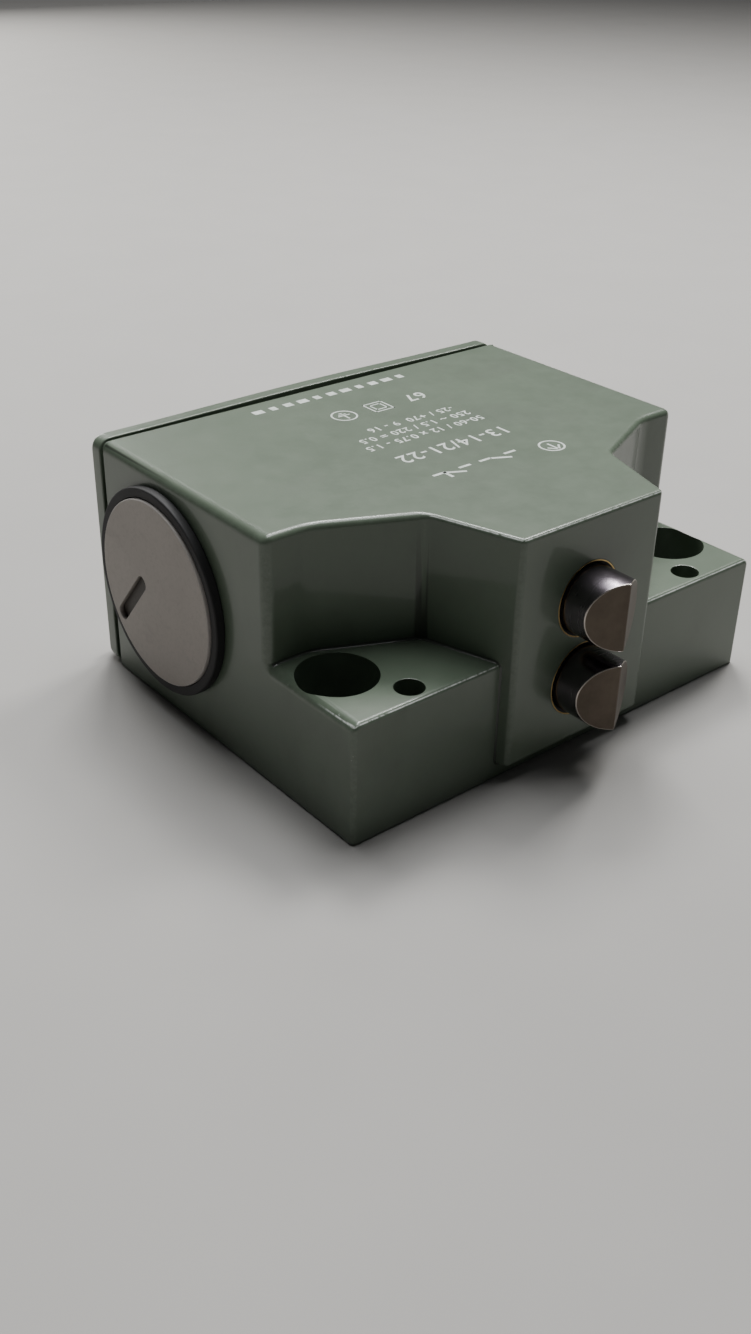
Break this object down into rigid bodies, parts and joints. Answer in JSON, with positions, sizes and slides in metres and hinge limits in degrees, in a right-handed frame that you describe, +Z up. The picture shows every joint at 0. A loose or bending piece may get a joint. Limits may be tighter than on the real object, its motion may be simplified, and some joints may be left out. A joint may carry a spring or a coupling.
{
  "type": "limit switch",
  "caption": "Die-cast limit switch with two roof-shaped plungers, mounting ears, a screwed rear cover and side cable entries.",
  "frame": {"origin": "On the mounting face, midway between the two mounting holes.", "axes": "+X along the width through the mounting holes, +Y from the plungers to the rear cover, +Z up from the mounting face."},
  "size_m": [0.1024, 0.0936, 0.048],
  "materials": {
    "grey_green_paint": "semi-gloss stove enamel over a die casting",
    "black_rubber": "matt",
    "plug_grey": "matt",
    "zinc_plated_steel": "bright zinc plating",
    "bright_brass": "turned and stamped brass",
    "ground_steel": "hardened and finely ground",
    "spring_steel": "drawn wire",
    "black_thermoset": "moulded",
    "amber_lid": "clear amber moulding",
    "white_nylon": "moulded",
    "contact_copper": "stamped copper alloy with silver contacts"
  },
  "bodies": {
    "switch_body": {"housing": "grey_green_paint", "rear_cover": "grey_green_paint", "cover_gasket": "black_rubber", "entry_plug_ring": "black_rubber", "entry_plug": "plug_grey", "cover_screws": "zinc_plated_steel", "carrier_screws": "zinc_plated_steel", "switch_carrier": "zinc_plated_steel", "earth_screw": "bright_brass", "earth_clamp": "bright_brass", "upper_guide_bush": "bright_brass", "upper_spring_seat": "bright_brass", "upper_wiper_seal": "black_rubber", "upper_return_spring": "spring_steel", "upper_button_spring": "spring_steel", "upper_switch_case": "black_thermoset", "upper_switch_lid": "amber_lid", "upper_closed_contacts": "bright_brass", "upper_open_contacts": "bright_brass", "upper_terminal_screws": "zinc_plated_steel", "lower_guide_bush": "bright_brass", "lower_spring_seat": "bright_brass", "lower_wiper_seal": "black_rubber", "lower_return_spring": "spring_steel", "lower_button_spring": "spring_steel", "lower_switch_case": "black_thermoset", "lower_switch_lid": "amber_lid", "lower_closed_contacts": "bright_brass", "lower_open_contacts": "bright_brass", "lower_terminal_screws": "zinc_plated_steel"},
    "upper_plunger_unit": {"upper_plunger": "ground_steel", "upper_plunger_oring": "black_rubber", "upper_key_pin": "ground_steel"},
    "upper_button_unit": {"upper_switch_button": "white_nylon", "upper_contact_spring": "spring_steel"},
    "upper_bridge_unit": {"upper_contact_bridge": "contact_copper"},
    "lower_plunger_unit": {"lower_plunger": "ground_steel", "lower_plunger_oring": "black_rubber", "lower_key_pin": "ground_steel"},
    "lower_button_unit": {"lower_switch_button": "white_nylon", "lower_contact_spring": "spring_steel"},
    "lower_bridge_unit": {"lower_contact_bridge": "contact_copper"}
  },
  "joints": [
    {"name": "upper_plunger_slide", "type": "slide", "parent": "switch_body", "child": "upper_plunger_unit", "axis": [0, 1, 0], "range_m": [0, 0.005], "stiffness_N_per_m": 1500, "springref_m": -0.006, "deforming": ["upper_return_spring"]},
    {"name": "upper_button_slide", "type": "slide", "parent": "switch_body", "child": "upper_button_unit", "axis": [0, 1, 0], "range_m": [0, 0.005], "stiffness_N_per_m": 300, "springref_m": -0.002, "deforming": ["upper_button_spring"]},
    {"name": "upper_bridge_slide", "type": "slide", "parent": "switch_body", "child": "upper_bridge_unit", "axis": [0, 1, 0], "range_m": [0, 0.003], "deforming": ["upper_contact_spring"]},
    {"name": "lower_plunger_slide", "type": "slide", "parent": "switch_body", "child": "lower_plunger_unit", "axis": [0, 1, 0], "range_m": [0, 0.005], "stiffness_N_per_m": 1500, "springref_m": -0.006, "deforming": ["lower_return_spring"]},
    {"name": "lower_button_slide", "type": "slide", "parent": "switch_body", "child": "lower_button_unit", "axis": [0, 1, 0], "range_m": [0, 0.005], "stiffness_N_per_m": 300, "springref_m": -0.002, "deforming": ["lower_button_spring"]},
    {"name": "lower_bridge_slide", "type": "slide", "parent": "switch_body", "child": "lower_bridge_unit", "axis": [0, 1, 0], "range_m": [0, 0.003], "deforming": ["lower_contact_spring"]}
  ],
  "couplings": [
    {"joint": "upper_button_slide", "follows": "upper_plunger_slide", "ratio": 1},
    {"joint": "upper_bridge_slide", "follows": "upper_plunger_slide", "ratio": 0.6},
    {"joint": "lower_button_slide", "follows": "lower_plunger_slide", "ratio": 1},
    {"joint": "lower_bridge_slide", "follows": "lower_plunger_slide", "ratio": 0.6}
  ]
}
